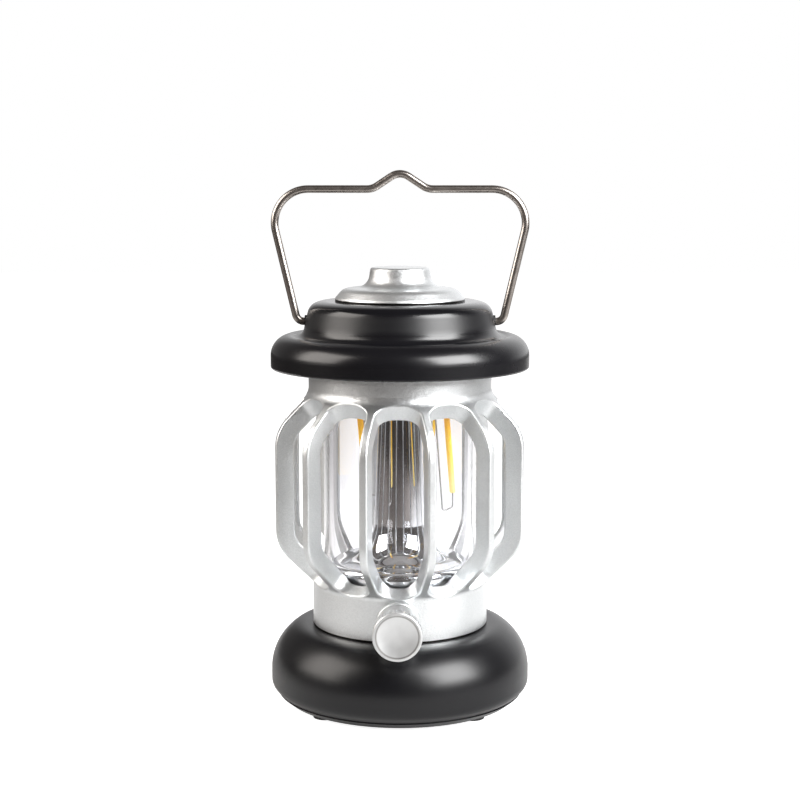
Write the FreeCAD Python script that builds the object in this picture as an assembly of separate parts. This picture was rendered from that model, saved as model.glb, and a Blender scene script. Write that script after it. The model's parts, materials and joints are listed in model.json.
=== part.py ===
"""Rechargeable camping lantern: black base and cap, silver ribbed cage, clear chimney, wire bail.

Millimetres. +Z is up, the lantern's axis is the Z axis, and the feet stand on Z = 0.
The front, with the dimmer knob, faces -Y, and the charging socket is at the back, +Y.
"""
import FreeCAD, Part
import math
import os

# Clearances
seat_gap = 0.1        # between fixed pieces that slot into each other
run_gap = 0.3         # between pieces that move past each other
shaft_gap = 0.05      # radial, round a turning shaft
screw_gap = 0.05      # radial, round a screw's shank

# Feet and base plate
foot_radius = 4.5
foot_stand = 1.5      # height of the feet under the plate
foot_recess = 0.8     # depth of the plate's pockets for the feet
foot_inset = 5.8      # a foot's middle from the edge of the plate's flat
foot_count = 4
foot_turn = 45.0      # first foot, counted from the front
plate_inset = 5.2     # the plate's flat under side, in from the base's outer wall
plate_bevel = 2.6
plate_thickness = 2.6
plate_ring_height = 2.0
plate_ring_wall = 1.5
seam_height = 0.5     # groove between the plate and the shell
seam_depth = 0.6

# Base shell
base_radius = 51.0
base_wall = 2.4
base_skirt = 2.8      # height of the turned-in lower edge
base_skirt_round = 4.0
dome_drop = 7.9       # the dome's corner lies this far under the shelf
dome_round = 20.0
shelf_inset = 10.7    # the shelf's edge, in from the base's outer wall
shelf_round = 9.0

# Battery
cell_radius = 9.2
cell_length = 65.0
cell_button_radius = 2.8
cell_button_height = 1.0
cell_edge = 0.8
cradle_floor = 1.8
cradle_wall = 1.6
cradle_height = 9.0
tab_width = 7.0
tab_height = 17.0
tab_thickness = 0.3

# Cage: neck, ribs and collar in one moulding
cell_headroom = 1.2   # between the cell and the neck's spigot
spigot_length = 4.9
spigot_radius = 33.0
neck_radius = 34.4
neck_wall = 3.2
neck_sill = 1.8       # from the deck's seat up to the flare of the ribs
lip_thickness = 1.4
lip_width = 2.6
flare_angle = 45.0    # slope of the ribs' lower and upper ends
rib_setback = 0.8     # the ribs' outer faces, in from the cap's brim
rib_depth = 7.2
rib_thickness = 3.2
rib_count = 12
rib_straight = 45.6   # upright stretch between the two flares, corner to corner
rib_bend = 16.0
rib_inner_bend = 9.0
sill_bend = 5.0       # where the ribs' inner slopes meet the chamber's wall
collar_radius = 35.7
collar_height = 11.6
neck_fillet = 3.0
collar_fillet = 5.0
window_inner_corner = 0.55  # corner radius of a window, as a share of its half width
window_outer_corner = 0.92
window_top_gap = 2.5  # window's top under the collar, at the collar's radius
window_top_rise = 1.5
window_bottom_drop = 1.05
window_edge = 0.7     # rounded edge of the windows
cutter_overrun = 6.0  # of a window's cutter past the walls
boss_radius = 3.6
boss_circle = 28.2
boss_count = 4
boss_turn = 45.0      # first boss, counted from the front

# Lamp chamber
chimney_radius = 30.0
chimney_wall = 2.0
gasket_height = 1.1
deck_thickness = 1.8
deck_hole = 6.0
reflector_wall = 1.4
column_radius = 7.8   # at the ceiling
column_foot_radius = 10.8
flare_round = 15.0
rim_height = 7.8      # edge of the trumpet above the deck
rim_lift = 1.4        # the flare's root above its edge
rim_round = 3.0
ceiling_thickness = 2.0
led_board_thickness = 1.6
chimney_overlap = 0.4  # the chimney stops this far under the collar

# LED filaments, angles counted from the front towards +X
filament_angles = (48.0, 140.0, 206.0, 318.0)
filament_circle = 23.0
filament_radius = 1.1
filament_end_round = 0.45
filament_tab_radius = 0.5
filament_length = 34.5
filament_tail = 4.0    # bare tab between the glowing part and the ceiling
filament_lean = 4.6    # sideways lean from the ceiling to the lower end
filament_hook = 7.4    # how far the return lead dips under the filament
lead_radius = 0.32
lead_circle = 18.5     # where the return lead enters the ceiling
lead_hook_bend = 1.0

# Cap and its liner
cap_rim_drop = 2.0     # the cap's rim under the top of the collar
cap_radius = 50.3
cap_wall = 2.4
cap_rim_round = 0.8
brim_height = 12.9
brim_fall = 2.0        # from the crest out to the edge
brim_round = 7.8
brim_crest_radius = 43.2
brim_crest_round = 4.0
brim_valley_radius = 38.2
brim_valley_drop = 1.5
brim_valley_round = 3.4
tier_height = 11.5     # from the rim's crest to the tier's shoulder
tier_radius = 35.2
tier_round = 4.8
plateau_rise = 1.5
plateau_radius = 30.5
plateau_round = 10.0
liner_thickness = 2.4
liner_ring_wall = 3.2
post_radius = 4.0
post_circle = 17.0
post_count = 3
post_turn = 30.0       # first post, counted from the front
liner_screw_circle = 33.2

# Finial
finial_radius = 25.2
finial_edge = 1.2
finial_edge_round = 1.5
finial_shoulder_radius = 22.0
finial_shoulder_rise = 4.8
finial_shoulder_round = 4.5
finial_neck_radius = 12.6
finial_neck_rise = 5.7
finial_neck_round = 5.0
finial_top_radius = 11.4
finial_top_round = 1.2
finial_height = 12.9
finial_wall = 1.6
finial_boss_radius = 4.5

# Bail
wire_radius = 1.5
pivot_drop = 8.1       # the pivot under the cap's plateau
bail_foot_gap = 3.2    # from the cap's wall out to the bend at the pivot
bail_overhang = 1.5    # the bail's corners, out past the cap's brim
bail_height = 51.0     # bar above the pivot
bail_foot_bend = 3.2
bail_corner_bend = 13.0
peak_half_width = 10.6
peak_rise = 7.0
peak_bend = 6.0
peak_foot_bend = 7.0
bush_wall = 0.9
bush_flange = 1.1
bush_flange_height = 0.9
bush_proud = 0.3
pivot_boss_radius = 4.2
pivot_boss_length = 2.6
retainer_thickness = 1.0
retainer_radius = 3.3
bail_tip = 0.5         # wire end past the retainer

# Dimmer and knob
knob_rise = 8.6        # knob's axis above the shelf
dimmer_size = 9.7
dimmer_depth = 6.6
dimmer_headroom = 0.75
dimmer_pad = 1.8       # flat inside the neck, from the wall inwards
dimmer_pad_margin = 1.5
bushing_radius = 3.45
shaft_radius = 3.0
shaft_grip = 11.5      # length of shaft inside the knob
nut_flats = 10.0
nut_height = 2.0
bezel_radius = 8.3
bezel_reach = 3.7      # front of the bezel, from the neck
bezel_floor = 1.0
bezel_recess_radius = 6.3
bezel_round = 0.6
knob_radius = 9.25
knob_length = 17.5
knob_waist_radius = 7.9
knob_waist_chamfer = 0.5
knob_groove_radius = 7.2
knob_groove_width = 1.2
knob_groove_slope = 1.0
knob_groove_round = 0.4
knob_disc = 5.2        # thickness of the knurled rim
knob_disc_round = 0.6
knob_dish_radius = 8.1
knob_dish_depth = 1.2
knurl_count = 40
knurl_radius = 0.32
knurl_setback = 1.2    # from the knob's face

# Charging board and socket
board_width = 18.0
board_length = 24.0
board_thickness = 1.2
board_rise = 4.9       # under side above the base plate
board_inset = 1.6      # from the base shell's inner wall
chip_size = (5.0, 4.0, 1.5)
chip_x = 3.5
chip_chamfer = 0.25
coil_radius = 2.9
coil_height = 3.2
coil_x = -4.2
coil_round = 0.6
socket_width = 8.94
socket_height = 3.26
socket_length = 7.35
socket_wall = 0.3
socket_depth = 6.0
tongue_width = 6.7
tongue_thickness = 0.7
tongue_setback = 0.8
plug_width = 12.0
plug_height = 6.5
plug_proud = 0.2
plug_lug_wall = 0.4
plug_lug_length = 3.8
plug_ridge = 0.7

# Screws: head radius, head height
base_screw_head = (2.7, 2.0)
cap_screw_head = (2.7, 1.9)
small_screw_head = (2.0, 1.4)
screw_radius = 1.5
small_screw_radius = 1.1
screw_bite = 10.0      # depth of thread in the piece it holds
small_screw_bite = 4.0

# Wires
sleeve_radius = 0.7
dimmer_wire_radius = 0.5
dimmer_wire_pitch = 3.7
lamp_lead_spread = 2.2   # each lamp lead from the middle of the column
lead_bend = 5.0
tight_bend = 2.2


# Levels and places worked out from the sizes above
plate_radius = base_radius - plate_inset
foot_circle = plate_radius - foot_inset
shelf_radius = base_radius - shelf_inset
cage_radius = cap_radius - rib_setback
plate_bottom = foot_stand
plate_top = plate_bottom + plate_thickness
cell_z = plate_top + cradle_floor + seat_gap + cell_radius
spigot_bottom = cell_z + cell_radius + cell_headroom
shelf_z = spigot_bottom + spigot_length
knob_z = shelf_z + knob_rise
lip_bottom = knob_z + dimmer_size / 2 + dimmer_headroom
deck_bottom = lip_bottom + lip_thickness
deck_top = deck_bottom + deck_thickness
slope = math.tan(math.radians(flare_angle))
neck_top = deck_bottom + neck_sill
rib_bottom = neck_top + (cage_radius - neck_radius) * slope
rib_top = rib_bottom + rib_straight
collar_bottom = rib_top + (cage_radius - collar_radius) * slope
cage_top = collar_bottom + collar_height
chamber_radius = chimney_radius + run_gap
deck_radius = chamber_radius - seat_gap
chimney_bottom = deck_top + gasket_height
chimney_top = collar_bottom - chimney_overlap
ceiling_z = chimney_top + gasket_height
led_board_z = ceiling_z + ceiling_thickness
led_board_top = led_board_z + led_board_thickness
chimney_bore = chimney_radius - chimney_wall
rim_radius = chimney_bore - run_gap
liner_top = cage_top + liner_thickness
cap_rim = cage_top - cap_rim_drop
brim_z = cap_rim + brim_height
tier_z = brim_z + tier_height
valley_z = brim_z - brim_valley_drop
plateau_z = tier_z + plateau_rise
pivot_z = plateau_z - pivot_drop
bar_z = pivot_z + bail_height
filament_top = ceiling_z - filament_tail
filament_bottom = filament_top - filament_length
board_z = plate_top + board_rise
board_top = board_z + board_thickness
base_bore = base_radius - base_wall
board_front = base_bore - board_inset
board_back = board_front - board_length
socket_front = base_bore - run_gap
port_z = board_top + socket_height / 2
neck_bore = neck_radius - neck_wall
pad_face = neck_bore - dimmer_pad
bezel_front = neck_radius + bezel_reach
nut_seat = neck_radius + bezel_floor
knob_back = bezel_front + run_gap
knob_face = knob_back + knob_length
shaft_end = knob_back + shaft_grip
tab_x = cell_length / 2 + tab_thickness
cradle_x = tab_x + seat_gap + cradle_wall
cradle_y = cell_radius + seat_gap + cradle_wall
tier_lean = (tier_radius - brim_valley_radius) / (tier_z - valley_z)
pivot_wall = brim_valley_radius + tier_lean * (pivot_z - valley_z)
bail_foot_reach = pivot_wall + bail_foot_gap
bail_shoulder_reach = cap_radius + bail_overhang
bush_radius = wire_radius + shaft_gap + bush_wall
bush_bore = wire_radius + shaft_gap
pivot_boss_end = pivot_wall - cap_wall - pivot_boss_length
bush_end = pivot_boss_end - bush_flange_height
retainer_face = bush_end - run_gap
bail_end = retainer_face - retainer_thickness - bail_tip
base_screw_seat = plate_top + base_screw_head[1]
base_screw_top = spigot_bottom + screw_bite
board_middle = board_front - board_length / 2

UP = FreeCAD.Vector(0, 0, 1)
ORIGIN = FreeCAD.Vector(0, 0, 0)


def rounded_edges(points, closed):
    """Straight edges through (vector, bend radius) points, with a tangent arc at each bend."""
    count = len(points)
    entries = []
    for i, (corner, bend) in enumerate(points):
        inner = closed or 0 < i < count - 1
        if not inner or bend <= 0:
            entries.append((corner, None, corner))
            continue
        back = (points[i - 1][0] - corner).normalize()
        ahead = (points[(i + 1) % count][0] - corner).normalize()
        half = back.getAngle(ahead) / 2
        reach = bend / math.tan(half)
        middle = (back + ahead).normalize()
        arc_middle = corner + middle * (bend / math.sin(half) - bend)
        entries.append((corner + back * reach, arc_middle, corner + ahead * reach))
    edges = []
    for i, (start, arc_middle, end) in enumerate(entries):
        if arc_middle is not None:
            edges.append(Part.Arc(start, arc_middle, end).toShape())
        if i + 1 < count or closed:
            following = entries[(i + 1) % count][0]
            if end.distanceToPoint(following) > 1e-6:
                edges.append(Part.makeLine(end, following))
    return edges


def turned(points, axis="z"):
    """A solid of revolution: points are (radius, height[, bend]) on the outline, in order."""
    corners = []
    for point in points:
        bend = point[2] if len(point) > 2 else 0
        if axis == "z":
            corners.append((FreeCAD.Vector(point[0], 0, point[1]), bend))
        else:
            corners.append((FreeCAD.Vector(point[0], point[1], 0), bend))
    face = Part.Face(Part.Wire(rounded_edges(corners, True)))
    direction = UP if axis == "z" else FreeCAD.Vector(0, 1, 0)
    return face.revolve(ORIGIN, direction, 360)


def offset_outline(points, wall):
    """The (radius, height, bend) outline moved sideways by a wall, to the right of its direction."""
    lines = []
    for start, end in zip(points, points[1:]):
        run = math.hypot(end[0] - start[0], end[1] - start[1])
        along = ((end[0] - start[0]) / run, (end[1] - start[1]) / run)
        lines.append((start[0] + wall * along[1], start[1] - wall * along[0], along))
    first = lines[0]
    moved = [(first[0], first[1], 0)]
    for i in range(1, len(lines)):
        (r0, z0, a), (r1, z1, b) = lines[i - 1], lines[i]
        turn = a[0] * b[1] - a[1] * b[0]
        step = ((r1 - r0) * b[1] - (z1 - z0) * b[0]) / turn
        bend = points[i][2]
        if bend > 0:
            bend = bend - wall if turn < 0 else bend + wall
        moved.append((r0 + a[0] * step, z0 + a[1] * step, max(bend, 0)))
    last_r, last_z, along = lines[-1]
    run = math.hypot(points[-1][0] - points[-2][0], points[-1][1] - points[-2][1])
    moved.append((last_r + along[0] * run, last_z + along[1] * run, 0))
    return moved


def disc(radius, bottom, top, x=0, y=0):
    return Part.makeCylinder(radius, top - bottom, FreeCAD.Vector(x, y, bottom))


def ring(outer, inner, bottom, top):
    return disc(outer, bottom, top).cut(disc(inner, bottom, top))


def rod(radius, start, end):
    """A cylinder between two points."""
    start = FreeCAD.Vector(*start)
    along = FreeCAD.Vector(*end) - start
    return Part.makeCylinder(radius, along.Length, start, along)


def block(low, high):
    low = FreeCAD.Vector(*low)
    size = FreeCAD.Vector(*high) - low
    return Part.makeBox(size.x, size.y, size.z, low)


def slot_prism(width, height, front, back, z):
    """A prism with a stadium section in the XZ plane, running along Y."""
    r = height / 2
    side = width / 2 - r
    middle = block((-side, front, z - r), (side, back, z + r))
    left = rod(r, (-side, front, z), (-side, back, z))
    right = rod(r, (side, front, z), (side, back, z))
    return middle.fuse([left, right]).removeSplitter()


def tube(points, radius, bend):
    """A round wire along straight runs joined by tangent arcs."""
    corners = [(FreeCAD.Vector(*point), bend) for point in points]
    path = Part.Wire(rounded_edges(corners, False))
    section = Part.Wire(Part.makeCircle(radius, corners[0][0], corners[1][0] - corners[0][0]))
    return path.makePipeShell([section], True, False)


def on_circle(radius, angle):
    """A plan position, the angle counted from the front towards +X."""
    a = math.radians(angle)
    return radius * math.sin(a), -radius * math.cos(a)


def around(count, radius, first=0.0):
    return [on_circle(radius, first + i * 360.0 / count) for i in range(count)]


def screw(x, y, seat, length, head, radius, down=True):
    """A screw with its head on the seat and its shank below it, or above it when down is False."""
    sign = 1 if down else -1
    top = rod(head[0], (x, y, seat), (x, y, seat + sign * head[1]))
    dimple = rod(head[0] / 2, (x, y, seat + sign * head[1] / 2), (x, y, seat + sign * head[1]))
    shank = rod(radius, (x, y, seat), (x, y, seat - sign * length))
    return top.cut(dimple).fuse(shank)


feet_places = around(foot_count, foot_circle, foot_turn)
boss_places = around(boss_count, boss_circle, boss_turn)
post_places = around(post_count, post_circle, post_turn)
liner_screw_places = around(post_count, liner_screw_circle)
reflector_screw_places = around(post_count, (rim_radius + column_foot_radius) / 2)
board_screw_places = [(side * (board_width / 2 - small_screw_head[0] - run_gap),
                       board_front - board_length / 4) for side in (-1, 1)]


def make_feet():
    return Part.makeCompound([disc(foot_radius, 0, foot_stand + foot_recess, x, y) for x, y in feet_places])


def make_base_plate():
    skirt_run = base_radius - plate_radius - plate_bevel
    skirt_wall = base_wall * math.hypot(skirt_run, base_skirt) / base_skirt
    ring_radius = plate_radius + plate_bevel - skirt_wall - 2 * seat_gap
    plate = turned([
        (0, plate_bottom), (plate_radius, plate_bottom),
        (plate_radius + plate_bevel, plate_top - seam_height),
        (plate_radius + plate_bevel - seam_depth, plate_top - seam_height),
        (plate_radius + plate_bevel - seam_depth, plate_top), (ring_radius, plate_top),
        (ring_radius, plate_top + plate_ring_height),
        (ring_radius - plate_ring_wall, plate_top + plate_ring_height),
        (ring_radius - plate_ring_wall, plate_top), (0, plate_top)])
    added = [disc(boss_radius, plate_bottom, spigot_bottom, x, y) for x, y in boss_places]
    added += [disc(small_screw_head[0], plate_bottom, board_z, x, y) for x, y in board_screw_places]
    cut = [disc(foot_radius + seat_gap, plate_bottom, plate_bottom + foot_recess, x, y)
           for x, y in feet_places]
    for x, y in boss_places:
        cut.append(disc(base_screw_head[0] + seat_gap, plate_bottom, base_screw_seat, x, y))
        cut.append(disc(screw_radius + screw_gap, plate_bottom, spigot_bottom, x, y))
    for x, y in board_screw_places:
        cut.append(disc(small_screw_radius + screw_gap, board_z - small_screw_bite, board_z, x, y))
    return plate.fuse(added).cut(cut)


def make_base_screws():
    length = base_screw_top - base_screw_seat
    screws = [screw(x, y, base_screw_seat, length, base_screw_head, screw_radius, down=False)
              for x, y in boss_places]
    return Part.makeCompound(screws)


def make_base_shell():
    slope_turn = math.atan2(dome_drop, shelf_inset)
    shelf_width = shelf_radius - spigot_radius - 2 * seat_gap
    shelf_edge = min(shelf_round, shelf_width / math.tan(slope_turn / 2))
    outer = [
        (spigot_radius + seat_gap, shelf_z, 0),
        (shelf_radius, shelf_z, shelf_edge),
        (base_radius, shelf_z - dome_drop, dome_round),
        (base_radius, plate_top + base_skirt, base_skirt_round),
        (plate_radius + plate_bevel, plate_top, 0)]
    inner = offset_outline(outer, base_wall)
    skirt_turn = (outer[-1][0] - outer[-2][0]) / (outer[-1][1] - outer[-2][1])
    below = inner[-1][1] - plate_top
    inner[-1] = (inner[-1][0] - below * skirt_turn, plate_top, 0)
    shell = turned(outer + inner[::-1])
    port = slot_prism(plug_width + 2 * run_gap, plug_height + 2 * run_gap, 0, 2 * base_radius, port_z)
    return shell.cut(port)


def make_battery_cell():
    body = rod(cell_radius, (-cell_length / 2, 0, cell_z), (cell_length / 2 - cell_button_height, 0, cell_z))
    body = body.makeFillet(cell_edge, body.Edges)
    button = rod(cell_button_radius, (0, 0, cell_z), (cell_length / 2, 0, cell_z))
    return body.fuse(button)


def make_battery_cradle():
    tray = block((-cradle_x, -cradle_y, plate_top), (cradle_x, cradle_y, plate_top + cradle_height))
    pocket = tab_x + seat_gap
    trough = rod(cell_radius + seat_gap, (-pocket, 0, cell_z), (pocket, 0, cell_z))
    return tray.cut(trough)


def make_battery_tabs():
    low = cell_z - tab_height / 2
    high = cell_z + tab_height / 2
    tabs = []
    for ends in ((-tab_x, -cell_length / 2), (cell_length / 2, tab_x)):
        tabs.append(block((ends[0], -tab_width / 2, low), (ends[1], tab_width / 2, high)))
    return Part.makeCompound(tabs)


def make_battery_lead(side):
    """From the tab's upper end round the corner post to the charging board."""
    x = tab_x + sleeve_radius
    z = cell_z + tab_height / 2 - 2 * sleeve_radius
    pad_x = board_width / 2 - 2 * sleeve_radius
    pad_y = board_back + 2 * sleeve_radius
    points = [(side * x, -sleeve_radius, z), (side * x, cradle_y + boss_radius, z),
              (side * boss_circle, boss_circle, z), (side * pad_x, pad_y, z),
              (side * pad_x, pad_y, board_top)]
    return tube(points, sleeve_radius, tight_bend)


def make_charge_board():
    board = block((-board_width / 2, board_back, board_z), (board_width / 2, board_front, board_top))
    holes = [disc(small_screw_radius + screw_gap, board_z, board_top, x, y) for x, y in board_screw_places]
    return board.cut(holes)


def make_board_screws():
    length = board_thickness + small_screw_bite - seat_gap
    return Part.makeCompound([screw(x, y, board_top, length, small_screw_head, small_screw_radius)
                              for x, y in board_screw_places])


def make_charge_chip():
    length, depth, height = chip_size
    chip = block((chip_x - length / 2, board_middle - depth / 2, board_top),
                 (chip_x + length / 2, board_middle + depth / 2, board_top + height))
    return chip.makeChamfer(chip_chamfer, chip.Faces[5].Edges)


def make_power_coil():
    coil = disc(coil_radius, board_top, board_top + coil_height, coil_x, board_middle)
    return coil.makeFillet(coil_round, [coil.Edges[0]])


def make_usb_socket():
    back = socket_front - socket_length
    shell = slot_prism(socket_width, socket_height, back, socket_front, port_z)
    mouth = slot_prism(socket_width - 2 * socket_wall, socket_height - 2 * socket_wall,
                       socket_front - socket_depth, socket_front, port_z)
    tongue = block((-tongue_width / 2, socket_front - socket_depth, port_z - tongue_thickness / 2),
                   (tongue_width / 2, socket_front - tongue_setback, port_z + tongue_thickness / 2))
    return shell.cut(mouth).fuse(tongue)


def make_port_plug():
    """Soft plug: a pad that fills the hole in the dome, and a sleeve that grips the socket's mouth."""
    back = socket_front + run_gap
    pad = slot_prism(plug_width, plug_height, back, base_radius + plug_proud, port_z)
    pad = pad.common(disc(base_radius + plug_proud, 0, shelf_z))
    lug_height = socket_height - 2 * socket_wall - run_gap
    lug_width = socket_width - 2 * socket_wall - run_gap
    sleeve = slot_prism(lug_width, lug_height, back - plug_lug_length, back, port_z)
    hollow = slot_prism(lug_width - 2 * plug_lug_wall, lug_height - 2 * plug_lug_wall,
                        back - plug_lug_length, back, port_z)
    nail_z = port_z + plug_height / 4
    nail = block((-plug_width / 4, base_radius - plug_ridge, nail_z - plug_ridge / 2),
                 (plug_width / 4, base_radius + plug_proud + plug_ridge, nail_z + plug_ridge / 2))
    return pad.fuse([sleeve.cut(hollow), nail])


def cage_outline():
    """Half section of the cage without its windows."""
    lean = math.hypot(1, slope)
    inner_radius = cage_radius - rib_depth
    inner_bottom = rib_bottom + rib_depth * (lean - slope)
    inner_top = rib_top - rib_depth * (lean - slope)
    inner_run = (inner_radius - chamber_radius) * slope
    return [
        (collar_radius, cage_top), (collar_radius, collar_bottom, collar_fillet),
        (cage_radius, rib_top, rib_bend), (cage_radius, rib_bottom, rib_bend),
        (neck_radius, neck_top, neck_fillet), (neck_radius, shelf_z),
        (spigot_radius, shelf_z), (spigot_radius, spigot_bottom),
        (neck_bore, spigot_bottom), (neck_bore, lip_bottom),
        (neck_bore - lip_width, lip_bottom), (neck_bore - lip_width, deck_bottom),
        (chamber_radius, deck_bottom),
        (chamber_radius, inner_bottom - inner_run, sill_bend),
        (inner_radius, inner_bottom, rib_inner_bend), (inner_radius, inner_top, rib_inner_bend),
        (chamber_radius, inner_top + inner_run, sill_bend), (chamber_radius, cage_top)]


def neck_core():
    """The neck and its flare as a full solid, for what fits against them."""
    return turned([
        (0, shelf_z), (neck_radius, shelf_z), (neck_radius, neck_top, neck_fillet),
        (cage_radius, rib_bottom), (0, rib_bottom)])


def window_cutter():
    """One flared window at the front: wide and tall outside, narrower and shorter inside."""
    half_turn = math.radians(180.0 / rib_count)
    sections = []
    ends = ((chamber_radius - cutter_overrun, window_inner_corner),
            (cage_radius + cutter_overrun, window_outer_corner))
    for radius, share in ends:
        half = radius * math.tan(half_turn) - rib_thickness / 2 / math.cos(half_turn)
        top = collar_bottom - window_top_gap + (radius - collar_radius) * window_top_rise
        bottom = neck_top - (radius - neck_radius) * window_bottom_drop
        corner = half * share
        corners = [(FreeCAD.Vector(x, -radius, z), corner)
                   for x, z in ((half, bottom), (half, top), (-half, top), (-half, bottom))]
        sections.append(Part.Wire(rounded_edges(corners, True)))
    return Part.makeLoft(sections, True, True)


def window_rims(cage):
    """The edges where a window meets the turned faces, inside and outside."""
    turned_kinds = ("Part::GeomCylinder", "Part::GeomCone", "Part::GeomToroid")
    rims = []
    for edge in cage.Edges:
        faces = cage.ancestorsOfType(edge, Part.Face)
        from_turning = [face.Surface.TypeId in turned_kinds for face in faces]
        if not edge.Closed and sorted(from_turning) == [False, True]:
            rims.append(edge)
    return rims


def make_cage_frame():
    cage = turned(cage_outline())
    cutter = window_cutter()
    cutters = []
    for i in range(rib_count):
        copy = cutter.copy()
        copy.rotate(ORIGIN, UP, i * 360.0 / rib_count)
        cutters.append(copy)
    cage = cage.cut(cutters)
    cage = cage.makeFillet(window_edge, window_rims(cage))
    added = [disc(boss_radius, spigot_bottom, lip_bottom, x, y) for x, y in boss_places]
    pad_side = dimmer_size / 2 + dimmer_pad_margin
    mid_wall = (neck_radius + neck_bore) / 2
    added.append(block((-pad_side, -mid_wall, shelf_z), (pad_side, -pad_face, lip_bottom)))
    cut = [disc(screw_radius + screw_gap, spigot_bottom, base_screw_top + seat_gap, x, y)
           for x, y in boss_places]
    cut.append(rod(bushing_radius + seat_gap, (0, 0, knob_z), (0, -cage_radius, knob_z)))
    cut += [disc(small_screw_radius + screw_gap, cage_top - small_screw_bite - seat_gap, cage_top, x, y)
            for x, y in liner_screw_places]
    return cage.fuse(added).cut(cut)


def make_lamp_deck():
    holes = [disc(small_screw_radius + screw_gap, deck_bottom, deck_top, x, y)
             for x, y in reflector_screw_places]
    return ring(deck_radius, deck_hole, deck_bottom, deck_top).cut(holes)


def reflector_outline():
    """Outer face of the trumpet, from the ceiling down to the deck."""
    rim_z = deck_top + rim_height
    return [
        (column_radius, ceiling_z, 0), (column_foot_radius, rim_z + rim_lift, flare_round),
        (rim_radius, rim_z, rim_round), (rim_radius, deck_top, 0)]


def make_reflector():
    outer = reflector_outline()
    inner = offset_outline(outer, reflector_wall)
    skin = turned(outer + inner[::-1])
    full = turned([(0, ceiling_z)] + outer + [(0, deck_top)])
    bosses = [disc(small_screw_head[0], deck_top, deck_top + rim_height, x, y).common(full)
              for x, y in reflector_screw_places]
    holes = [disc(small_screw_radius + screw_gap, deck_top, deck_top + small_screw_bite + seat_gap, x, y)
             for x, y in reflector_screw_places]
    return skin.fuse(bosses).cut(holes)


def make_reflector_screws():
    length = deck_thickness + small_screw_bite
    screws = [screw(x, y, deck_bottom, length, small_screw_head, small_screw_radius, down=False)
              for x, y in reflector_screw_places]
    return Part.makeCompound(screws)


def make_gasket(bottom):
    return ring(deck_radius, chimney_bore - seat_gap, bottom, bottom + gasket_height)


def filament_point(angle, radius, sideways, z):
    """A point beside the filament's own plan position, moved along the circle by a small step."""
    a = math.radians(angle)
    x, y = on_circle(radius, angle)
    return x + sideways * math.cos(a), y + sideways * math.sin(a), z


def filament_line(angle, z):
    lean = filament_lean * (ceiling_z - z) / (ceiling_z - filament_bottom)
    return filament_point(angle, filament_circle, lean, z)


def lead_route(angle):
    """From the filament's lower end down, round a hook, and back up to the ceiling."""
    hook_z = filament_bottom - filament_hook
    return [
        filament_line(angle, filament_bottom),
        filament_point(angle, filament_circle, filament_lean, filament_bottom - 0.75 * filament_hook),
        filament_point(angle, (filament_circle + lead_circle) / 2, filament_lean / 3, hook_z),
        filament_point(angle, lead_circle, -filament_lean / 3, led_board_top)]


def make_ceiling_plate():
    plate = ring(deck_radius, deck_hole, ceiling_z, led_board_z)
    holes = []
    for angle in filament_angles:
        x, y, _ = filament_line(angle, ceiling_z)
        holes.append(disc(filament_radius, ceiling_z, led_board_z, x, y))
        x, y, _ = lead_route(angle)[-1]
        holes.append(disc(filament_radius, ceiling_z, led_board_z, x, y))
    return plate.cut(holes)


def make_filament(angle):
    """The glowing rod and the tab that holds it under the LED board."""
    top = filament_line(angle, filament_top)
    glow = rod(filament_radius, filament_line(angle, filament_bottom), top)
    glow = glow.makeFillet(filament_end_round, [edge for edge in glow.Edges if edge.Closed])
    tab = rod(filament_tab_radius, top, filament_line(angle, led_board_top))
    under_board = disc(deck_radius, chimney_bottom, led_board_z)
    return glow.fuse(tab).common(under_board)


def make_filament_lead(angle):
    lead = tube(lead_route(angle), lead_radius, lead_hook_bend)
    under_board = disc(deck_radius, chimney_bottom, led_board_z)
    return lead.common(under_board).cut(make_filament(angle))


def make_lamp_lead(side):
    """From the charging board over the cell and up through the reflector's column."""
    x = lamp_lead_spread * side
    y = board_back + 4 * sleeve_radius
    points = [(x, y, board_top), (x, y, spigot_bottom - lead_bend / 2), (x, 0, shelf_z + lead_bend),
              (x, 0, led_board_z)]
    return tube(points, sleeve_radius, lead_bend)


def make_dimmer_wires():
    """Three wires from the back of the dimmer over the cell to the charging board."""
    start = dimmer_depth - pad_face
    land = board_back + 2 * dimmer_wire_radius
    solder_z = knob_z - dimmer_size / 4
    over = spigot_bottom + 3 * dimmer_wire_radius
    wires = []
    for x in (-dimmer_wire_pitch, 0, dimmer_wire_pitch):
        points = [(x, start, solder_z), (x, start + 2 * tight_bend, solder_z),
                  (x, start + 4 * tight_bend, over), (x, land - 3 * tight_bend, over),
                  (x, land, over - 3 * tight_bend), (x, land, board_top)]
        wires.append(tube(points, dimmer_wire_radius, tight_bend))
    return Part.makeCompound(wires)


def make_cap_liner():
    plate = disc(cap_radius - cap_wall - run_gap, cage_top, liner_top)
    press_radius = deck_radius - seat_gap
    press = ring(press_radius, press_radius - liner_ring_wall, led_board_top, liner_top)
    posts = [disc(post_radius, cage_top, plateau_z - cap_wall, x, y) for x, y in post_places]
    holes = [disc(screw_radius + screw_gap, plateau_z - cap_wall - screw_bite - seat_gap, plateau_z, x, y)
             for x, y in post_places]
    holes += [disc(small_screw_radius + screw_gap, cage_top, liner_top, x, y) for x, y in liner_screw_places]
    return plate.fuse([press] + posts).cut(holes)


def make_liner_screws():
    length = liner_thickness + small_screw_bite
    return Part.makeCompound([screw(x, y, liner_top, length, small_screw_head, small_screw_radius)
                              for x, y in liner_screw_places])


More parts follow.
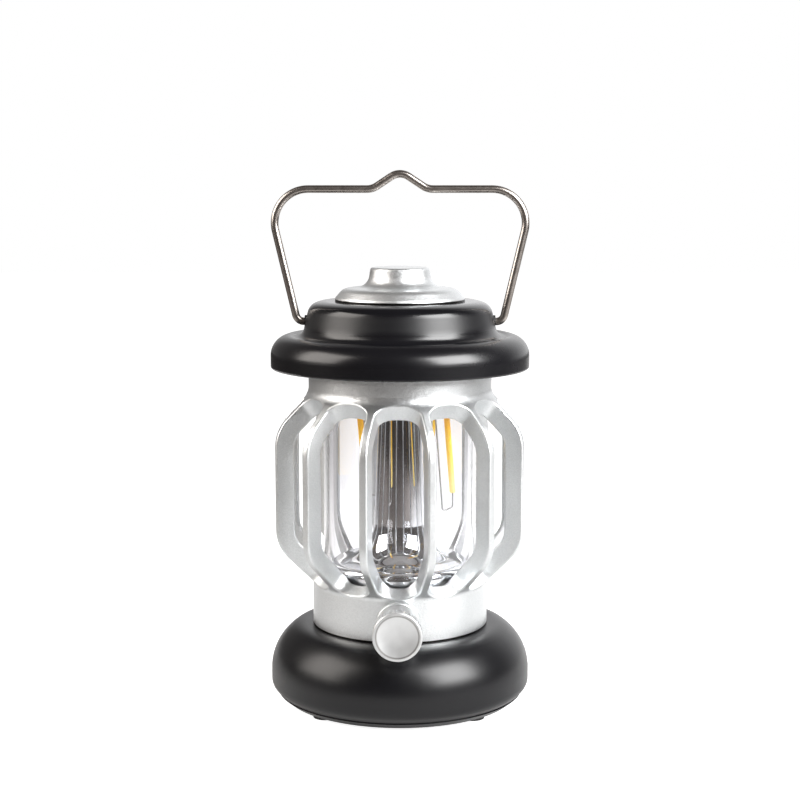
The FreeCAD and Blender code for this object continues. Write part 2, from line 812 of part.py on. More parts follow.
def cap_outline():
    """Outer face of the cap, from its middle out to the rim."""
    return [
        (0, plateau_z, 0), (plateau_radius, plateau_z, plateau_round), (tier_radius, tier_z, tier_round),
        (brim_valley_radius, valley_z, brim_valley_round), (brim_crest_radius, brim_z, brim_crest_round),
        (cap_radius, brim_z - brim_fall, brim_round), (cap_radius, cap_rim, cap_rim_round)]


def make_top_cap():
    outer = cap_outline()
    inner = offset_outline(outer, cap_wall)
    cap = turned(outer + inner[::-1])
    cut = [disc(screw_radius + screw_gap, plateau_z - cap_wall, plateau_z, x, y) for x, y in post_places]
    cut.append(disc(screw_radius + screw_gap, plateau_z - cap_wall, plateau_z))
    for side in (-1, 1):
        boss = rod(pivot_boss_radius, (side * pivot_boss_end, 0, pivot_z),
                   (side * (pivot_wall - cap_wall / 2), 0, pivot_z))
        cap = cap.fuse(boss)
        cut.append(rod(bush_radius + seat_gap / 2, (side * bail_end, 0, pivot_z),
                       (side * cap_radius, 0, pivot_z)))
    return cap.cut(cut)


def make_cap_screws():
    return Part.makeCompound([screw(x, y, plateau_z, cap_wall + screw_bite, cap_screw_head, screw_radius)
                              for x, y in post_places])


def make_finial():
    top = plateau_z + finial_height
    outer = [
        (0, top, 0), (finial_top_radius, top, finial_top_round),
        (finial_neck_radius, plateau_z + finial_neck_rise, finial_neck_round),
        (finial_shoulder_radius, plateau_z + finial_shoulder_rise, finial_shoulder_round),
        (finial_radius, plateau_z + finial_edge, finial_edge_round), (finial_radius, plateau_z, 0)]
    inner = offset_outline(outer, finial_wall)
    dome = turned(outer + inner[::-1])
    boss = disc(finial_boss_radius, plateau_z, top - finial_wall / 2)
    return dome.fuse(boss).cut(disc(screw_radius + screw_gap, plateau_z, plateau_z + screw_bite + seat_gap))


def make_finial_screw():
    return screw(0, 0, plateau_z - cap_wall, cap_wall + screw_bite, cap_screw_head, screw_radius, down=False)


def make_bail_bushes():
    """A sleeve through each side of the cap, with its flange on the inner end."""
    bushes = []
    for side in (-1, 1):
        inner = (side * bush_end, 0, pivot_z)
        outer = (side * (pivot_wall + bush_proud), 0, pivot_z)
        sleeve = rod(bush_radius, inner, outer)
        flange = rod(bush_radius + bush_flange, inner, (side * pivot_boss_end, 0, pivot_z))
        bushes.append(sleeve.fuse(flange).cut(rod(bush_bore, inner, outer)))
    return Part.makeCompound(bushes)


def make_handle_bail():
    """One bent wire: pivots, legs that splay outwards, round corners and the raised peak."""
    half = [
        (bail_end, pivot_z, 0), (bail_foot_reach, pivot_z, bail_foot_bend),
        (bail_shoulder_reach, bar_z, bail_corner_bend), (peak_half_width, bar_z, peak_foot_bend)]
    left = [(FreeCAD.Vector(-x, 0, z), bend) for x, z, bend in half]
    right = [(FreeCAD.Vector(x, 0, z), bend) for x, z, bend in half[::-1]]
    peak = [(FreeCAD.Vector(0, 0, bar_z + peak_rise), peak_bend)]
    corners = left + peak + right
    path = Part.Wire(rounded_edges(corners, False))
    section = Part.Wire(Part.makeCircle(wire_radius, corners[0][0], FreeCAD.Vector(1, 0, 0)))
    return path.makePipeShell([section], True, False)


def make_bail_retainers():
    """A push-on washer near each end of the wire, inside the cap."""
    washers = []
    for side in (-1, 1):
        inner = (side * (retainer_face - retainer_thickness), 0, pivot_z)
        outer = (side * retainer_face, 0, pivot_z)
        washers.append(rod(retainer_radius, inner, outer).cut(rod(wire_radius, inner, outer)))
    return Part.makeCompound(washers)


def make_dimmer_body():
    half = dimmer_size / 2
    case = block((-half, -pad_face, knob_z - half), (half, -pad_face + dimmer_depth, knob_z + half))
    bushing = rod(bushing_radius, (0, -pad_face, knob_z), (0, -bezel_front + seat_gap, knob_z))
    bore_end = -pad_face + dimmer_depth / 2
    bore = rod(shaft_radius + shaft_gap, (0, bore_end, knob_z), (0, -bezel_front, knob_z))
    return case.fuse(bushing).cut(bore)


def make_dimmer_shaft():
    start = -pad_face + dimmer_depth / 2 - run_gap
    shaft = rod(shaft_radius, (0, start, knob_z), (0, -shaft_end, knob_z))
    flat = block((-shaft_radius, -shaft_end, knob_z + shaft_radius / 2),
                 (shaft_radius, -knob_back, knob_z + 2 * shaft_radius))
    return shaft.cut(flat)


def make_dimmer_nut():
    corner = nut_flats / 2 / math.cos(math.radians(30))
    points = [FreeCAD.Vector(*on_circle(corner, 60.0 * i), 0) for i in range(7)]
    nut = Part.Face(Part.makePolygon(points)).extrude(FreeCAD.Vector(0, 0, nut_height))
    nut = nut.cut(disc(bushing_radius + seat_gap / 2, 0, nut_height))
    nut.rotate(ORIGIN, FreeCAD.Vector(1, 0, 0), 90)
    nut.translate(FreeCAD.Vector(0, -nut_seat, knob_z))
    return nut


def make_knob_bezel():
    collar = turned([
        (bushing_radius + seat_gap, 0), (bezel_radius, 0), (bezel_radius, -bezel_front, bezel_round),
        (bezel_recess_radius, -bezel_front), (bezel_recess_radius, -nut_seat),
        (bushing_radius + seat_gap, -nut_seat)], axis="y")
    collar.translate(FreeCAD.Vector(0, 0, knob_z))
    return collar.cut(neck_core())


def make_dimmer_knob():
    """Turned knob: plain waist, groove, knurled rim and a dished face."""
    disc_back = knob_face - knob_disc
    groove = disc_back - knob_groove_width
    knob = turned([
        (0, -knob_back), (knob_waist_radius - knob_waist_chamfer, -knob_back),
        (knob_waist_radius, -knob_back - knob_waist_chamfer),
        (knob_waist_radius, -groove + knob_groove_slope, knob_groove_round),
        (knob_groove_radius, -groove, knob_groove_round), (knob_groove_radius, -disc_back),
        (knob_radius, -disc_back, knob_disc_round), (knob_radius, -knob_face, knob_disc_round),
        (0, -knob_face)], axis="y")
    ball_radius = (knob_dish_radius ** 2 + knob_dish_depth ** 2) / 2 / knob_dish_depth
    cut = [Part.makeSphere(ball_radius, FreeCAD.Vector(0, -knob_face - ball_radius + knob_dish_depth, 0))]
    cut.append(rod(shaft_radius + shaft_gap, (0, 0, 0), (0, -shaft_end - seat_gap, 0)))
    for x, z in around(knurl_count, knob_radius):
        cut.append(rod(knurl_radius, (x, -disc_back + seat_gap, z), (x, -knob_face + knurl_setback, z)))
    knob = knob.cut(cut)
    knob.translate(FreeCAD.Vector(0, 0, knob_z))
    return knob


def make_parts():
    parts = {
        "rubber_feet": make_feet(),
        "base_plate": make_base_plate(),
        "base_screws": make_base_screws(),
        "base_shell": make_base_shell(),
        "battery_cell": make_battery_cell(),
        "battery_cradle": make_battery_cradle(),
        "battery_tabs": make_battery_tabs(),
        "battery_lead_red": make_battery_lead(1),
        "battery_lead_black": make_battery_lead(-1),
        "charge_board": make_charge_board(),
        "board_screws": make_board_screws(),
        "charge_chip": make_charge_chip(),
        "power_coil": make_power_coil(),
        "usb_socket": make_usb_socket(),
        "port_plug": make_port_plug(),
        "cage_frame": make_cage_frame(),
        "lamp_deck": make_lamp_deck(),
        "reflector": make_reflector(),
        "reflector_screws": make_reflector_screws(),
        "lower_gasket": make_gasket(deck_top),
        "clear_chimney": ring(chimney_radius, chimney_bore, chimney_bottom, chimney_top),
        "upper_gasket": make_gasket(chimney_top),
        "ceiling_plate": make_ceiling_plate(),
        "led_board": disc(deck_radius, led_board_z, led_board_top),
        "lamp_lead_red": make_lamp_lead(1),
        "lamp_lead_black": make_lamp_lead(-1),
        "cap_liner": make_cap_liner(),
        "liner_screws": make_liner_screws(),
        "top_cap": make_top_cap(),
        "cap_screws": make_cap_screws(),
        "finial": make_finial(),
        "finial_screw": make_finial_screw(),
        "bail_bushes": make_bail_bushes(),
        "handle_bail": make_handle_bail(),
        "bail_retainers": make_bail_retainers(),
        "dimmer_body": make_dimmer_body(),
        "dimmer_shaft": make_dimmer_shaft(),
        "dimmer_nut": make_dimmer_nut(),
        "dimmer_wires": make_dimmer_wires(),
        "knob_bezel": make_knob_bezel(),
        "dimmer_knob": make_dimmer_knob(),
    }
    for i, angle in enumerate(filament_angles, start=1):
        parts[f"led_filament_{i}"] = make_filament(angle)
        parts[f"filament_lead_{i}"] = make_filament_lead(angle)
    return parts


def main():
    os.makedirs("parts", exist_ok=True)
    for name, shape in make_parts().items():
        shape.exportStep(f"parts/{name}.step")
        print(name, len(shape.Solids), round(shape.Volume, 1), shape.isValid())


main()
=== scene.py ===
import bpy
import json
import math
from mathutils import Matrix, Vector


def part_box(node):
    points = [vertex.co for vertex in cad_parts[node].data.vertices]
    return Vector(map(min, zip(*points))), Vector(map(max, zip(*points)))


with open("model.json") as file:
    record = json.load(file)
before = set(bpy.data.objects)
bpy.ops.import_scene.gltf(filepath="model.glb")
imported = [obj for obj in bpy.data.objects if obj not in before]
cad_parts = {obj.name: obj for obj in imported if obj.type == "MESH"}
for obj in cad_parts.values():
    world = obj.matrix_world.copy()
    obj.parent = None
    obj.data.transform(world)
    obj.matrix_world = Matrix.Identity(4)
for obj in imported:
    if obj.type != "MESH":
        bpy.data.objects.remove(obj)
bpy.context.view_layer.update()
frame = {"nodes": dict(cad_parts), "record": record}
nodes = frame["nodes"]

# Camera, as in the photograph: metres and degrees
CAMERA_DISTANCE = 0.6364
CAMERA_HEIGHT = 0.2043
CAMERA_TURN = 1.0       # from the front towards +X
CAMERA_PITCH = 7.64
CAMERA_LENS = 73.84

# Studio: a white floor and backdrop, a dim brown room on the camera's side, two soft boxes in front
FLOOR_SIZE = 6.0
FLOOR_COLOUR = (0.5, 0.5, 0.5, 1.0)
FLOOR_ROUGHNESS = 0.9
FLOOR_GLOW = (0.2, 0.75)    # evens out the floor away from the lights, more of it behind the lantern
FLOOR_GLOW_EDGE = (-0.05, 0.25)
FLOOR_GLOW_SEEN = (1.0, 0.92)   # the same to the camera, off the lit floor and on it
FLOOR_FRONT = (-0.42, -0.16)    # the lit floor ends in front of the lantern and to its sides
FLOOR_LEFT = (-0.45, -0.05)
FLOOR_RIGHT = (0.75, 0.35)
ROOM_FRONT = (0.081, 0.070, 0.064, 1.0)
ROOM_BACK = (1.3, 1.3, 1.31, 1.0)
ROOM_SEEN = (1.0, 1.0, 1.0, 1.0)
BACKDROP_EDGE = (0.30, 0.75)    # share of the direction that points backwards, dim to white
BACKDROP_TOP = (0.90, 0.55)     # share that points up, dim to white
BACKDROP_LEFT = (-0.40, 0.05, 0.12, 1.0)    # two shares that point right, then how white at each
LIGHT_DISTANCE = 0.9
LIGHT_TARGET = (0.0, 0.0, 0.12)
KEY_BOX = dict(angle=53.0, height=30.0, size=0.62, radiance=20.0, colour=(1.0, 1.0, 1.0))
FILL_BOX = dict(angle=-77.0, height=28.0, size=0.66, radiance=7.0, colour=(1.0, 0.95, 0.90))

# Textures are counted in cells per millimetre, and lie on coordinates in metres
PER_MM = 1000.0
MOTTLE_RANGE = (0.3, 0.7)       # where most values of the slow mottle lie
PLASTIC_RELIEF = 0.0002         # depth of the grain, metres
METAL_RELIEF = 0.0001


def srgb(red, green, blue):
    """A colour given in display values from 0 to 255, as the linear colour that a shader takes."""
    def linear(value):
        c = value / 255.0
        return c / 12.92 if c <= 0.04045 else ((c + 0.055) / 1.055) ** 2.4
    return (linear(red), linear(green), linear(blue), 1.0)


# Plain finishes: two tones, a range of roughness, and any grain, relief or shine that is not the usual
PLASTICS = {
    "base_black": dict(dark=srgb(6, 6, 9), light=srgb(9, 9, 12), gloss=(0.30, 0.34),
                       grain=4.0, relief=0.05, shine=0.35),
    "cap_black": dict(dark=srgb(9, 9, 12), light=srgb(13, 13, 16), gloss=(0.24, 0.28),
                      grain=4.0, relief=0.02, shine=0.42),
    "black_rubber": dict(dark=srgb(22, 22, 22), light=srgb(30, 30, 30), gloss=(0.60, 0.75),
                         grain=5.0, relief=0.2),
    "inner_plastic": dict(dark=srgb(30, 30, 31), light=srgb(38, 38, 39), gloss=(0.50, 0.60)),
    "white_plastic": dict(dark=srgb(240, 240, 243), light=srgb(249, 249, 251), gloss=(0.35, 0.45)),
    "board_green": dict(dark=srgb(18, 84, 44), light=srgb(26, 98, 54), gloss=(0.30, 0.40)),
    "chip_black": dict(dark=srgb(28, 28, 30), light=srgb(36, 36, 38), gloss=(0.50, 0.60)),
    "cell_wrap": dict(dark=srgb(30, 88, 168), light=srgb(38, 100, 182), gloss=(0.25, 0.35)),
    "wire_red": dict(dark=srgb(176, 28, 24), light=srgb(192, 36, 30), gloss=(0.35, 0.45)),
    "wire_black": dict(dark=srgb(24, 24, 24), light=srgb(32, 32, 32), gloss=(0.35, 0.45)),
}
METALS = {
    "knob_silver": dict(dark=srgb(193, 194, 195), light=srgb(215, 216, 216), gloss=(0.42, 0.48),
                        grain=4.0, relief=0.05),
    "bail_steel": dict(dark=srgb(150, 143, 137), light=srgb(166, 160, 155), gloss=(0.28, 0.33),
                       grain=0.3, relief=0.01),
    "lead_wire": dict(dark=srgb(196, 196, 196), light=srgb(216, 216, 216), gloss=(0.42, 0.50)),
    "steel": dict(dark=srgb(180, 180, 178), light=srgb(205, 205, 203), gloss=(0.25, 0.38)),
    "brass": dict(dark=srgb(196, 160, 92), light=srgb(214, 180, 112), gloss=(0.22, 0.34)),
}

# Silver paint: tones from flake to flake, with a share of slow mottle in them
SILVER_DARK = srgb(198, 201, 202)
SILVER_LIGHT = srgb(228, 230, 231)
SILVER_MOTTLE = 0.4
SILVER_GLOSS = (0.39, 0.44)
SILVER_COAT = 0.2
SILVER_COAT_ROUGHNESS = 0.2

# Painted shade: dark lines in the gaps where the silver pieces stand on the base and on the cap: metres
BASE_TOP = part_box("base_shell")[1][2]
CAP_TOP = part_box("top_cap")[1][2]
SEAM_FEET = (BASE_TOP, CAP_TOP)
SEAM_EDGE = (0.0006, 0.0008)    # above and below a foot, full tone to none
# Painted shade: the dark tone of the lines in the gaps
PAINTED_SEAM_SHADE = srgb(30, 29, 28)

# Changes of the cap's roughness, going up: from and to a depth under its top, metres, and the new value
CAP_FINISH = (
    (0.0105, 0.0085, 0.40),     # from the brim to the wall of the tier
    (0.0045, 0.0025, 0.17),     # from the wall to the rounding at the top
)

# Painted shade: a dark line in the step round the dish of the knob: metres
KNOB_LOW, KNOB_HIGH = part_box("dimmer_knob")
KNOB_AXIS_Z = (KNOB_LOW[2] + KNOB_HIGH[2]) / 2
DISH_LINE = 0.0079                      # radius from the knob's axis
DISH_LINE_EDGE = (0.00015, 0.00045)     # from that radius, full tone to none
DISH_DEPTH = 0.0008                     # the line goes no deeper than this behind the knob's front
PAINTED_DISH_SHADE = srgb(150, 149, 148)

# Clear tube and mirror
CLEAR_DARK = srgb(247, 247, 250)
CLEAR_LIGHT = srgb(252, 252, 253)
CLEAR_GLOSS = (0.0, 0.02)
CLEAR_IOR = 1.49
MIRROR_CLEAN = srgb(236, 238, 240)
MIRROR_DUST = srgb(205, 205, 205)
MIRROR_GLOSS = (0.03, 0.5)      # clean and on a speck of dust
MIRROR_WAVE = 0.05

# Filaments: the heights between which they change colour, metres
FILAMENT_TIP = (0.088, 0.100)
FILAMENT_NECK = (0.104, 0.118)
FILAMENT_PALE = srgb(255, 226, 140)
FILAMENT_YELLOW = srgb(255, 205, 60)
FILAMENT_ORANGE = srgb(255, 172, 36)
FILAMENT_PALE_SHARE = (0.0, 0.3)    # least and most of the pale tone that the mottle mixes in
FILAMENT_GLOSS = (0.40, 0.55)
FILAMENT_LUMPS = 0.1
FILAMENT_PAINTED_GLOW = 0.45    # painted glow: light the unlit filaments give off whatever falls on them


# Shader helpers

def put(tree, socket, value):
    """Feeds a socket from another socket, or sets it to a plain value."""
    if isinstance(value, bpy.types.NodeSocket):
        tree.links.new(value, socket)
    else:
        socket.default_value = value


def calc(tree, operation, first, second=0.0):
    """One step of arithmetic on one or two values."""
    node = tree.nodes.new("ShaderNodeMath")
    node.operation = operation
    put(tree, node.inputs[0], first)
    put(tree, node.inputs[1], second)
    return node.outputs[0]


def remap(tree, value, low, high, to_low=0.0, to_high=1.0):
    """Stretches low..high to to_low..to_high and holds the ends."""
    node = tree.nodes.new("ShaderNodeMapRange")
    for socket, setting in zip(node.inputs, (value, low, high, to_low, to_high)):
        put(tree, socket, setting)
    return node.outputs["Result"]


def from_middle(tree, value, middle):
    """How far a value lies from a middle one, to either side."""
    return calc(tree, "ABSOLUTE", calc(tree, "SUBTRACT", value, middle))


def vector_calc(tree, operation, first, second=(0.0, 0.0, 0.0)):
    """One step of arithmetic on one or two vectors."""
    node = tree.nodes.new("ShaderNodeVectorMath")
    node.operation = operation
    put(tree, node.inputs[0], first)
    put(tree, node.inputs[1], second)
    return node.outputs[0]


def blend(tree, factor, first, second):
    """Mixes two colours, the first at factor 0 and the second at 1."""
    node = tree.nodes.new("ShaderNodeMix")
    node.data_type = "RGBA"
    # The node has sockets for every data type, and only those of its own are enabled
    sockets = {socket.name: socket for socket in node.inputs if socket.enabled}
    put(tree, sockets["Factor"], factor)
    put(tree, sockets["A"], first)
    put(tree, sockets["B"], second)
    return next(socket for socket in node.outputs if socket.enabled)


def noise(tree, vector, scale, detail=2.0):
    """A cloudy value from 0 to 1."""
    node = tree.nodes.new("ShaderNodeTexNoise")
    put(tree, node.inputs["Vector"], vector)
    put(tree, node.inputs["Scale"], scale)
    put(tree, node.inputs["Detail"], detail)
    return node.outputs["Fac"]


def object_place(tree):
    """The point's place on its piece, in metres from the frame's origin at rest."""
    return tree.nodes.new("ShaderNodeTexCoord").outputs["Object"]


def axes(tree, vector):
    """X, Y and Z of a place or direction."""
    node = tree.nodes.new("ShaderNodeSeparateXYZ")
    put(tree, node.inputs[0], vector)
    return node.outputs


def channels(tree, colour):
    """Red, green and blue of a colour."""
    node = tree.nodes.new("ShaderNodeSeparateColor")
    put(tree, node.inputs[0], colour)
    return node.outputs


def random_cells(tree, scale):
    """Small cells in the piece, each with a random colour, and the distance to their middle."""
    node = tree.nodes.new("ShaderNodeTexVoronoi")
    put(tree, node.inputs["Vector"], object_place(tree))
    put(tree, node.inputs["Scale"], calc(tree, "MULTIPLY", scale, PER_MM))
    return node.outputs


def bump(tree, height, strength, distance):
    """A normal that follows a height."""
    node = tree.nodes.new("ShaderNodeBump")
    put(tree, node.inputs["Height"], height)
    put(tree, node.inputs["Strength"], strength)
    put(tree, node.inputs["Distance"], distance)
    return node.outputs["Normal"]


def new_group(name, inputs, outputs):
    """An empty shader group; inputs are {name: default value}, outputs are {name: socket kind}."""
    tree = bpy.data.node_groups.new(name, "ShaderNodeTree")
    for socket_name, default in inputs.items():
        socket = tree.interface.new_socket(socket_name, in_out="INPUT", socket_type="NodeSocketFloat")
        socket.default_value = default
    for socket_name, kind in outputs.items():
        tree.interface.new_socket(socket_name, in_out="OUTPUT", socket_type="NodeSocket" + kind)
    return tree, tree.nodes.new("NodeGroupInput").outputs, tree.nodes.new("NodeGroupOutput").inputs


def use_group(tree, group, **settings):
    """Places a group in a material with its own values and gives its outputs."""
    node = tree.nodes.new("ShaderNodeGroup")
    node.node_tree = group
    for name, value in settings.items():
        put(tree, node.inputs[name], value)
    return node.outputs


# Surface effects, which materials use with values of their own

def make_moulded_grain():
    """Height of a fine moulded or sprayed surface, and a slow mottle for colour and gloss."""
    tree, given, result = new_group("moulded_grain", {"Scale": 4.0, "Mottle": 0.05},
                                    {"Height": "Float", "Mottle": "Float"})
    place = object_place(tree)
    fine = calc(tree, "MULTIPLY", given["Scale"], PER_MM)
    slow = calc(tree, "MULTIPLY", given["Mottle"], PER_MM)
    put(tree, result["Height"], noise(tree, place, fine))
    put(tree, result["Mottle"], noise(tree, place, slow, detail=4.0))
    return tree


def make_metal_flake():
    """Small flat cells that each lean their own way: a tilted normal and a random brightness."""
    tree, given, result = new_group("metal_flake", {"Scale": 5.0, "Tilt": 0.2},
                                    {"Normal": "Vector", "Sparkle": "Float"})
    cells = random_cells(tree, given["Scale"])
    lean = vector_calc(tree, "SUBTRACT", cells["Color"], (0.5, 0.5, 0.5))
    tilt = vector_calc(tree, "MULTIPLY", lean, given["Tilt"])
    straight = tree.nodes.new("ShaderNodeNewGeometry").outputs["Normal"]
    tilted = vector_calc(tree, "ADD", tilt, straight)
    put(tree, result["Normal"], vector_calc(tree, "NORMALIZE", tilted))
    put(tree, result["Sparkle"], channels(tree, cells["Color"])["Red"])
    return tree


def make_dust_specks():
    """A mask of small round specks, in a share of the cells."""
    tree, given, result = new_group("dust_specks", {"Scale": 0.6, "Size": 0.12, "Share": 0.25},
                                    {"Mask": "Float"})
    cells = random_cells(tree, given["Scale"])
    inside = calc(tree, "LESS_THAN", cells["Distance"], given["Size"])
    chosen = calc(tree, "LESS_THAN", channels(tree, cells["Color"])["Green"], given["Share"])
    put(tree, result["Mask"], calc(tree, "MULTIPLY", inside, chosen))
    return tree


moulded_grain = make_moulded_grain()
metal_flake = make_metal_flake()
dust_specks = make_dust_specks()


# Materials

def new_material(name):
    """A material with the inputs of its one shader."""
    material = bpy.data.materials.new(name)
    material.use_nodes = True
    tree = material.node_tree
    return material, tree, tree.nodes["Principled BSDF"].inputs


def moulded_plastic(name, dark, light, gloss, grain=3.0, relief=0.03, shine=0.5):
    """Moulded plastic: a slow mottle between two tones and a roughness range, over a fine grain."""
    material, tree, shader = new_material(name)
    shader["Specular IOR Level"].default_value = shine
    surface = use_group(tree, moulded_grain, Scale=grain, Mottle=0.06)
    put(tree, shader["Base Color"], blend(tree, surface["Mottle"], dark, light))
    put(tree, shader["Roughness"], remap(tree, surface["Mottle"], *MOTTLE_RANGE, *gloss))
    put(tree, shader["Normal"], bump(tree, surface["Height"], relief, PLASTIC_RELIEF))
    return material


def bare_metal(name, dark, light, gloss, grain=2.0, relief=0.02):
    """Bare metal: a mottle between two tones and a roughness range, over a faint grain."""
    material, tree, shader = new_material(name)
    surface = use_group(tree, moulded_grain, Scale=grain, Mottle=0.2)
    put(tree, shader["Base Color"], blend(tree, surface["Mottle"], dark, light))
    shader["Metallic"].default_value = 1.0
    put(tree, shader["Roughness"], remap(tree, surface["Mottle"], *MOTTLE_RANGE, *gloss))
    put(tree, shader["Normal"], bump(tree, surface["Height"], relief, METAL_RELIEF))
    return material


def fed_socket(material, name):
    """An input of a material's shader, and what feeds it so far."""
    socket = material.node_tree.nodes["Principled BSDF"].inputs[name]
    return socket, socket.links[0].from_socket


def vary_cap_gloss(material):
    """Makes the wall of the cap's tier duller than the brim, and the rounding at the top smoother."""
    tree = material.node_tree
    roughness, finish = fed_socket(material, "Roughness")
    height = axes(tree, object_place(tree))["Z"]
    for start, end, value in CAP_FINISH:
        finish = remap(tree, height, CAP_TOP - start, CAP_TOP - end, finish, value)
    put(tree, roughness, finish)


def painted_dish_shade_mask(tree):
    """Painted shade mask: one along the edge of the knob's dish, zero elsewhere."""
    place = axes(tree, object_place(tree))
    across = calc(tree, "POWER", place["X"], 2.0)
    above = calc(tree, "POWER", calc(tree, "SUBTRACT", place["Z"], KNOB_AXIS_Z), 2.0)
    radius = calc(tree, "SQRT", calc(tree, "ADD", across, above))
    ring = remap(tree, from_middle(tree, radius, DISH_LINE), *DISH_LINE_EDGE, 1.0, 0.0)
    face = calc(tree, "LESS_THAN", place["Y"], KNOB_LOW[1] + DISH_DEPTH)
    return calc(tree, "MULTIPLY", ring, face)


def paint_knob_dish_shade(material):
    """Draws painted shade, a dark line round the knob's dish."""
    tree = material.node_tree
    colour, metal = fed_socket(material, "Base Color")
    # Painted shade: the knob's colour turns dark along the step round its dish
    put(tree, colour, blend(tree, painted_dish_shade_mask(tree), metal, PAINTED_DISH_SHADE))


def painted_seam_shade_mask(tree):
    """Painted shade: one in the narrow gaps under the silver pieces, where shade falls, zero above and
    below them.
    """
    height = axes(tree, object_place(tree))["Z"]
    mask = 0.0
    for foot in SEAM_FEET:
        seam = remap(tree, from_middle(tree, height, foot), *SEAM_EDGE, 1.0, 0.0)
        mask = calc(tree, "MAXIMUM", mask, seam)
    return mask


def make_silver_paint():
    """Silver paint: small flakes that lean their own way under a thin clear coat, with painted shade in
    the seams.
    """
    material, tree, shader = new_material("silver_paint")
    flake = use_group(tree, metal_flake, Scale=5.5, Tilt=0.24)
    surface = use_group(tree, moulded_grain, Scale=3.0, Mottle=0.05)
    tone = blend(tree, SILVER_MOTTLE, flake["Sparkle"], surface["Mottle"])
    paint = blend(tree, tone, SILVER_DARK, SILVER_LIGHT)
    # Painted shade darkens the paint in the gaps under the finial and at the neck's foot
    put(tree, shader["Base Color"], blend(tree, painted_seam_shade_mask(tree), paint, PAINTED_SEAM_SHADE))
    shader["Metallic"].default_value = 1.0
    put(tree, shader["Roughness"], remap(tree, surface["Mottle"], *MOTTLE_RANGE, *SILVER_GLOSS))
    put(tree, shader["Normal"], flake["Normal"])
    shader["Coat Weight"].default_value = SILVER_COAT
    shader["Coat Roughness"].default_value = SILVER_COAT_ROUGHNESS
    return material


def make_clear_tube():
    """Clear acrylic with the faintest haze."""
    material, tree, shader = new_material("clear_tube")
    surface = use_group(tree, moulded_grain, Scale=0.4, Mottle=0.08)
    put(tree, shader["Base Color"], blend(tree, surface["Mottle"], CLEAR_DARK, CLEAR_LIGHT))
    shader["Transmission Weight"].default_value = 1.0
    shader["IOR"].default_value = CLEAR_IOR
    put(tree, shader["Roughness"], remap(tree, surface["Mottle"], *MOTTLE_RANGE, *CLEAR_GLOSS))
    return material


def make_mirror_plate():
    """Mirror plating, slightly wavy, with a few specks of dust."""
    material, tree, shader = new_material("mirror_plate")
    specks = use_group(tree, dust_specks, Scale=0.9, Size=0.14, Share=0.12)
    surface = use_group(tree, moulded_grain, Scale=0.25, Mottle=0.1)
    put(tree, shader["Base Color"], blend(tree, specks["Mask"], MIRROR_CLEAN, MIRROR_DUST))
    shader["Metallic"].default_value = 1.0
    put(tree, shader["Roughness"], remap(tree, specks["Mask"], 0.0, 1.0, *MIRROR_GLOSS))
    put(tree, shader["Normal"], bump(tree, surface["Height"], MIRROR_WAVE, PLASTIC_RELIEF))
    return material


def make_filament_yellow():
    """Phosphor coat: orange under the ceiling, yellow below and paler at the tip, slightly lumpy, with
    a painted glow.
    """
    material, tree, shader = new_material("filament_yellow")
    surface = use_group(tree, moulded_grain, Scale=1.5, Mottle=0.8)
    height = axes(tree, object_place(tree))["Z"]
    lower = blend(tree, remap(tree, height, *FILAMENT_TIP), FILAMENT_PALE, FILAMENT_YELLOW)
    whole = blend(tree, remap(tree, height, *FILAMENT_NECK), lower, FILAMENT_ORANGE)
    pale = remap(tree, surface["Mottle"], *MOTTLE_RANGE, *FILAMENT_PALE_SHARE)
    put(tree, shader["Base Color"], blend(tree, pale, whole, FILAMENT_PALE))
    put(tree, shader["Roughness"], remap(tree, surface["Mottle"], *MOTTLE_RANGE, *FILAMENT_GLOSS))
    put(tree, shader["Normal"], bump(tree, surface["Height"], FILAMENT_LUMPS, PLASTIC_RELIEF))
    # Painted glow: the unlit filaments give off light in the colour of their coat
    put(tree, shader["Emission Color"], whole)
    shader["Emission Strength"].default_value = FILAMENT_PAINTED_GLOW
    return material


def make_materials():
    """Every finish by the name of its slot."""
    materials = {name: moulded_plastic(name, **finish) for name, finish in PLASTICS.items()}
    materials |= {name: bare_metal(name, **finish) for name, finish in METALS.items()}
    vary_cap_gloss(materials["cap_black"])
    # Painted shade line round the knob's dish
    paint_knob_dish_shade(materials["knob_silver"])
    materials["silver_paint"] = make_silver_paint()
    materials["clear_tube"] = make_clear_tube()
    materials["mirror_plate"] = make_mirror_plate()
    materials["filament_yellow"] = make_filament_yellow()
    return materials


def dress_nodes():
    """Gives each CAD node the material of its slot."""
    materials = make_materials()
    for subpart in frame["record"]["subparts"]:
        for slot in nodes[subpart["node"]].material_slots:
            slot.material = materials[subpart["material_slot"]]


# Studio

def add_soft_box(name, angle, height, size, radiance, colour):
    """A square soft box round the lantern: angle from the front towards +X and height, in degrees."""
    turn, lift = math.radians(angle), math.radians(height)
    away = Vector((math.sin(turn) * math.cos(lift), -math.cos(turn) * math.cos(lift), math.sin(lift)))
    data = bpy.data.lights.new(name, "AREA")
    data.size = size
    data.energy = radiance * math.pi * size ** 2
    data.color = colour
    light = bpy.data.objects.new(name, data)
    bpy.context.scene.collection.objects.link(light)
    light.location = Vector(LIGHT_TARGET) + away * LIGHT_DISTANCE
    light.rotation_euler = (-away).to_track_quat("-Z", "Y").to_euler()


def make_camera():
    """The photograph's camera: in front of the lantern, above it and looking slightly down."""
    data = bpy.data.cameras.new("camera")
    data.lens = CAMERA_LENS
    camera = bpy.data.objects.new("camera", data)
    turn = math.radians(CAMERA_TURN)
    camera.location = (CAMERA_DISTANCE * math.sin(turn), -CAMERA_DISTANCE * math.cos(turn),
                       CAMERA_HEIGHT)
    camera.rotation_euler = (math.radians(90.0 - CAMERA_PITCH), 0.0, turn)
    bpy.context.scene.collection.objects.link(camera)
    bpy.context.scene.camera = camera


def camera_ray(tree):
    """One for what the camera sees directly, zero for what only lights or reflects."""
    return tree.nodes.new("ShaderNodeLightPath").outputs["Is Camera Ray"]


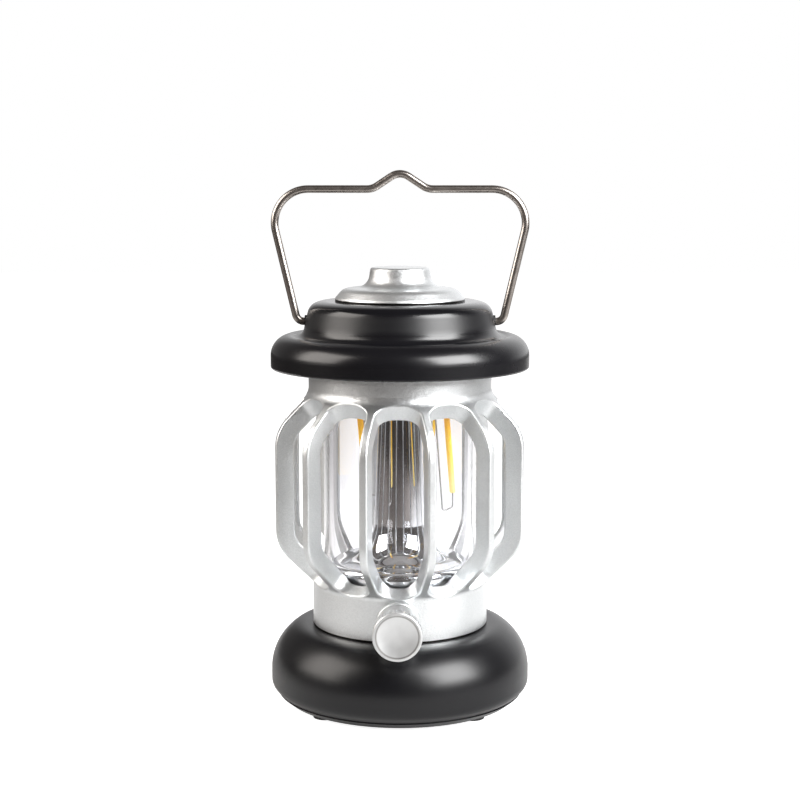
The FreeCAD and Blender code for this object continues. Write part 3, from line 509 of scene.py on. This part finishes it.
def make_room():
    """A white backdrop behind the lantern and a dim room in front of it and above."""
    world = bpy.data.worlds.new("room")
    world.use_nodes = True
    bpy.context.scene.world = world
    tree = world.node_tree
    direction = axes(tree, tree.nodes.new("ShaderNodeTexCoord").outputs["Generated"])
    behind = remap(tree, direction["Y"], *BACKDROP_EDGE)
    below = remap(tree, direction["Z"], *BACKDROP_TOP)
    beside = remap(tree, direction["X"], *BACKDROP_LEFT)
    share = calc(tree, "MULTIPLY", calc(tree, "MULTIPLY", behind, below), beside)
    lit = blend(tree, share, ROOM_FRONT, ROOM_BACK)
    put(tree, tree.nodes["Background"].inputs["Color"], blend(tree, camera_ray(tree), lit, ROOM_SEEN))


def make_floor_material():
    """Pale where the floor is lit, round the lantern, and plain white to the camera."""
    material, tree, shader = new_material("floor")
    place = axes(tree, object_place(tree))
    left = remap(tree, place["X"], *FLOOR_LEFT)
    right = remap(tree, place["X"], *FLOOR_RIGHT)
    front = remap(tree, place["Y"], *FLOOR_FRONT)
    lit = calc(tree, "MULTIPLY", calc(tree, "MULTIPLY", left, right), front)
    put(tree, shader["Base Color"], blend(tree, lit, ROOM_FRONT, FLOOR_COLOUR))
    shader["Roughness"].default_value = FLOOR_ROUGHNESS
    shader["Emission Color"].default_value = ROOM_SEEN
    glow = calc(tree, "MULTIPLY", lit, remap(tree, place["Y"], *FLOOR_GLOW_EDGE, *FLOOR_GLOW))
    seen = remap(tree, lit, 0.0, 1.0, *FLOOR_GLOW_SEEN)
    put(tree, shader["Emission Strength"], remap(tree, camera_ray(tree), 0.0, 1.0, glow, seen))
    return material


def make_floor():
    """A square floor under the lantern, which is not part of it."""
    mesh = bpy.data.meshes.new("floor")
    half = FLOOR_SIZE / 2
    corners = [(-half, -half, 0), (half, -half, 0), (half, half, 0), (-half, half, 0)]
    mesh.from_pydata(corners, [], [(0, 1, 2, 3)])
    mesh.materials.append(make_floor_material())
    floor = bpy.data.objects.new("floor", mesh)
    bpy.context.scene.collection.objects.link(floor)


def make_studio():
    """Camera, surroundings and lights."""
    make_camera()
    make_room()
    make_floor()
    add_soft_box("key", **KEY_BOX)
    add_soft_box("fill", **FILL_BOX)
    bpy.context.scene.view_settings.view_transform = "Standard"


dress_nodes()
make_studio()
